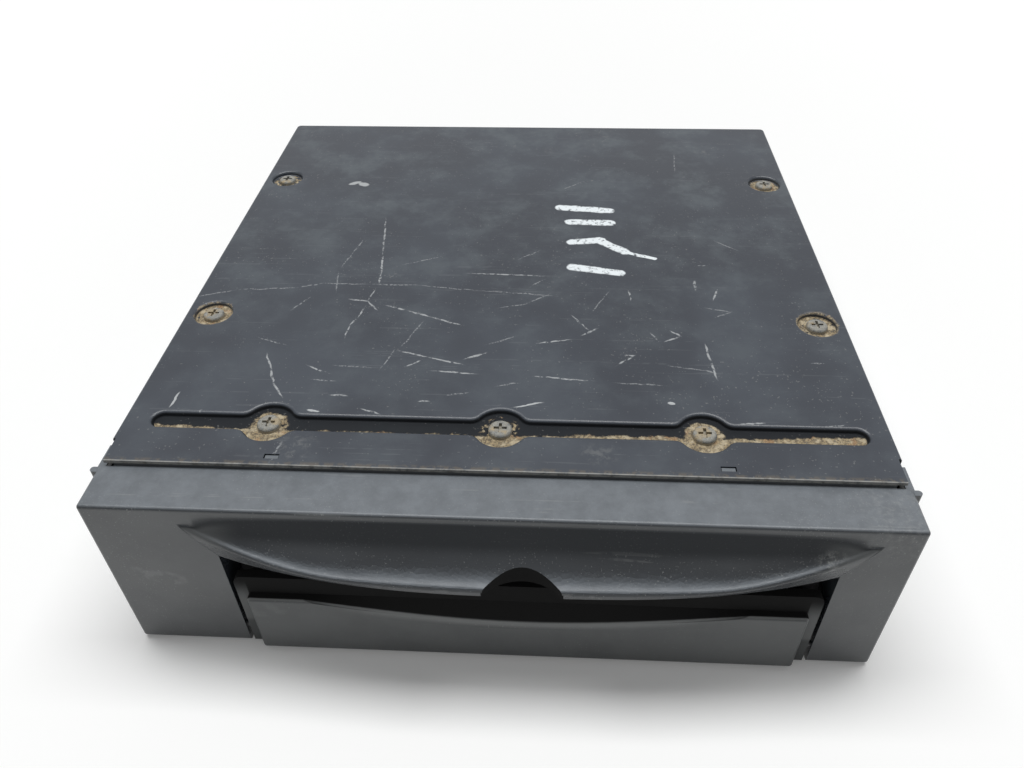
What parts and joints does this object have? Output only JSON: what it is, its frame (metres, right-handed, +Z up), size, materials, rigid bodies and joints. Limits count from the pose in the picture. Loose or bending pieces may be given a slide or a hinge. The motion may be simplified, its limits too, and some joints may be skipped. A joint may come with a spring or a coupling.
{
  "type": "slot-loading car disc player",
  "caption": "One-DIN car disc player with a painted steel cover, a moulded fascia under a curved hood with a finger notch, and a drop-down flap in front of the disc slot.",
  "frame": {"origin": "centre of the chassis underside, midway between the cover's sides and between its front and back edges", "axes": "+Z up, +Y towards the sockets at the back, +X to the right seen from the front"},
  "size_m": [0.1826, 0.2001, 0.0516],
  "materials": {
    "painted_steel": "satin grey paint, scratched",
    "plated_steel": "zinc-plated folded sheet",
    "fascia_plastic": "satin grey moulded plastic, dusty",
    "flap_plastic": "satin dark grey moulded plastic",
    "inner_plastic": "matt black moulded plastic",
    "black_plastic": "matt black moulded plastic",
    "button_plastic": "dark gloss cap",
    "socket_plastic": "matt dark socket body",
    "clear_plastic": "milky light pipe",
    "white_acetal": "natural acetal",
    "black_acetal": "black acetal",
    "screw_steel": "plated screw heads, corroded",
    "black_steel": "black oxide screws",
    "polished_steel": "ground steel shafts",
    "motor_can": "drawn motor can",
    "turned_brass": "turned brass",
    "cast_alloy": "die-cast alloy",
    "capacitor_can": "sleeved capacitor cans",
    "circuit_board": "green solder mask on glass-epoxy",
    "chip_resin": "black chip resin",
    "ribbon_film": "white flat ribbon",
    "soft_rubber": "soft black rubber",
    "felt": "black felt",
    "lens_glass": "moulded lens"
  },
  "bodies": {
    "case": {"lower_chassis": "plated_steel", "front_crossbar": "plated_steel", "top_cover": "painted_steel", "cover_screws": "screw_steel", "fascia": "fascia_plastic", "slot_bezel": "inner_plastic", "bezel_screws": "black_steel", "slot_felts": "felt", "eject_switch": "black_plastic", "led_light_pipe": "clear_plastic", "front_board": "circuit_board", "damper_posts": "turned_brass", "damper_grommets": "soft_rubber", "damper_screws": "black_steel", "drive_deck": "plated_steel", "drive_top_plate": "plated_steel", "top_plate_screws": "black_steel", "disc_guide": "black_plastic", "roller_bushings": "black_acetal", "loading_motor": "motor_can", "gear_pins": "polished_steel", "guide_rivets": "polished_steel", "spindle_stator": "motor_can", "guide_rods": "polished_steel", "rod_holders": "black_plastic", "sled_motor": "motor_can", "clamp_arm_pivots": "polished_steel", "main_board": "circuit_board", "board_standoffs": "turned_brass", "board_screws": "screw_steel", "board_chips": "chip_resin", "board_capacitors": "capacitor_can", "gps_module": "motor_can", "drive_ribbon": "ribbon_film", "power_connector": "socket_plastic", "av_connector": "socket_plastic", "antenna_socket": "turned_brass"},
    "flap": {"flap_door": "flap_plastic", "flap_hinge_pins": "polished_steel"},
    "button": {"eject_button": "button_plastic"},
    "roller": {"roller_shaft": "polished_steel", "rubber_rollers": "soft_rubber", "roller_gear": "white_acetal"},
    "idler": {"loading_idler": "white_acetal"},
    "loading_shaft": {"loading_pinion": "turned_brass"},
    "spindle": {"spindle_rotor": "polished_steel", "turntable": "black_acetal"},
    "sled": {"pickup_sled": "cast_alloy", "sled_rack": "white_acetal"},
    "lens": {"lens_holder": "black_acetal", "objective_lens": "lens_glass"},
    "sled_gear": {"sled_gear": "white_acetal"},
    "sled_motor_shaft": {"sled_pinion": "turned_brass"},
    "clamp_arm": {"clamp_arm": "plated_steel", "clamp_arm_pin": "polished_steel"},
    "clamper": {"clamper": "black_acetal", "clamper_magnet": "motor_can"},
    "cam_slider": {"cam_slider": "plated_steel"},
    "lever_left": {"disc_lever_left": "black_acetal"},
    "lever_right": {"disc_lever_right": "black_acetal"}
  },
  "joints": [
    {"name": "flap_hinge", "type": "hinge", "parent": "case", "child": "flap", "pos_m": [0.0064, -0.1007, 0.0063], "axis": [1, 0, 0], "range_deg": [0, 90]},
    {"name": "eject_press", "type": "slide", "parent": "case", "child": "button", "axis": [0, 1, 0], "range_m": [0, 0.0008], "stiffness_N_per_m": 500},
    {"name": "roller_spin", "type": "hinge", "parent": "case", "child": "roller", "pos_m": [0.0064, -0.085, 0.0267], "axis": [1, 0, 0], "continuous": true},
    {"name": "idler_spin", "type": "hinge", "parent": "case", "child": "idler", "pos_m": [-0.0635, -0.07631, 0.02437], "axis": [1, 0, 0], "continuous": true},
    {"name": "loading_pinion_spin", "type": "hinge", "parent": "case", "child": "loading_shaft", "pos_m": [-0.0635, -0.06581, 0.024], "axis": [1, 0, 0], "continuous": true},
    {"name": "spindle_spin", "type": "hinge", "parent": "case", "child": "spindle", "pos_m": [0.0064, -0.027, 0.0302], "axis": [0, 0, 1], "continuous": true},
    {"name": "sled_travel", "type": "slide", "parent": "case", "child": "sled", "axis": [0, 1, 0], "range_m": [0, 0.034]},
    {"name": "lens_focus", "type": "slide", "parent": "sled", "child": "lens", "axis": [0, 0, 1], "range_m": [-0.0005, 0.0005], "stiffness_N_per_m": 100},
    {"name": "sled_gear_turn", "type": "hinge", "parent": "case", "child": "sled_gear", "pos_m": [-0.0287, 0.002, 0.019], "axis": [0, 0, 1], "range_deg": [0, 557]},
    {"name": "sled_pinion_turn", "type": "hinge", "parent": "case", "child": "sled_motor_shaft", "pos_m": [-0.03952, -0.00425, 0.019], "axis": [0, 0, 1], "range_deg": [-2228, 0]},
    {"name": "clamp_arm_lift", "type": "hinge", "parent": "case", "child": "clamp_arm", "pos_m": [0.0064, 0.046, 0.0342], "axis": [1, 0, 0], "range_deg": [0, 2.4]},
    {"name": "clamper_spin", "type": "hinge", "parent": "clamp_arm", "child": "clamper", "pos_m": [0.0064, -0.027, 0.036], "axis": [0, 0, 1], "continuous": true},
    {"name": "cam_slide", "type": "slide", "parent": "case", "child": "cam_slider", "axis": [0, 1, 0], "range_m": [0, 0.01]},
    {"name": "lever_left_swing", "type": "hinge", "parent": "case", "child": "lever_left", "pos_m": [-0.0506, -0.058, 0.0383], "axis": [0, 0, -1], "range_deg": [0, 45], "stiffness_Nm_per_rad": 0.002},
    {"name": "lever_right_swing", "type": "hinge", "parent": "case", "child": "lever_right", "pos_m": [0.0634, -0.058, 0.0383], "axis": [0, 0, 1], "range_deg": [0, 45], "stiffness_Nm_per_rad": 0.002}
  ],
  "couplings": [
    {"joint": "idler_spin", "follows": "roller_spin", "ratio": -2},
    {"joint": "loading_pinion_spin", "follows": "roller_spin", "ratio": 6.4},
    {"joint": "sled_gear_turn", "follows": "sled_travel", "rad_per_m": 285.71},
    {"joint": "sled_pinion_turn", "follows": "sled_travel", "rad_per_m": -1142.9},
    {"joint": "cam_slide", "follows": "clamp_arm_lift", "m_per_rad": 0.2387}
  ]
}
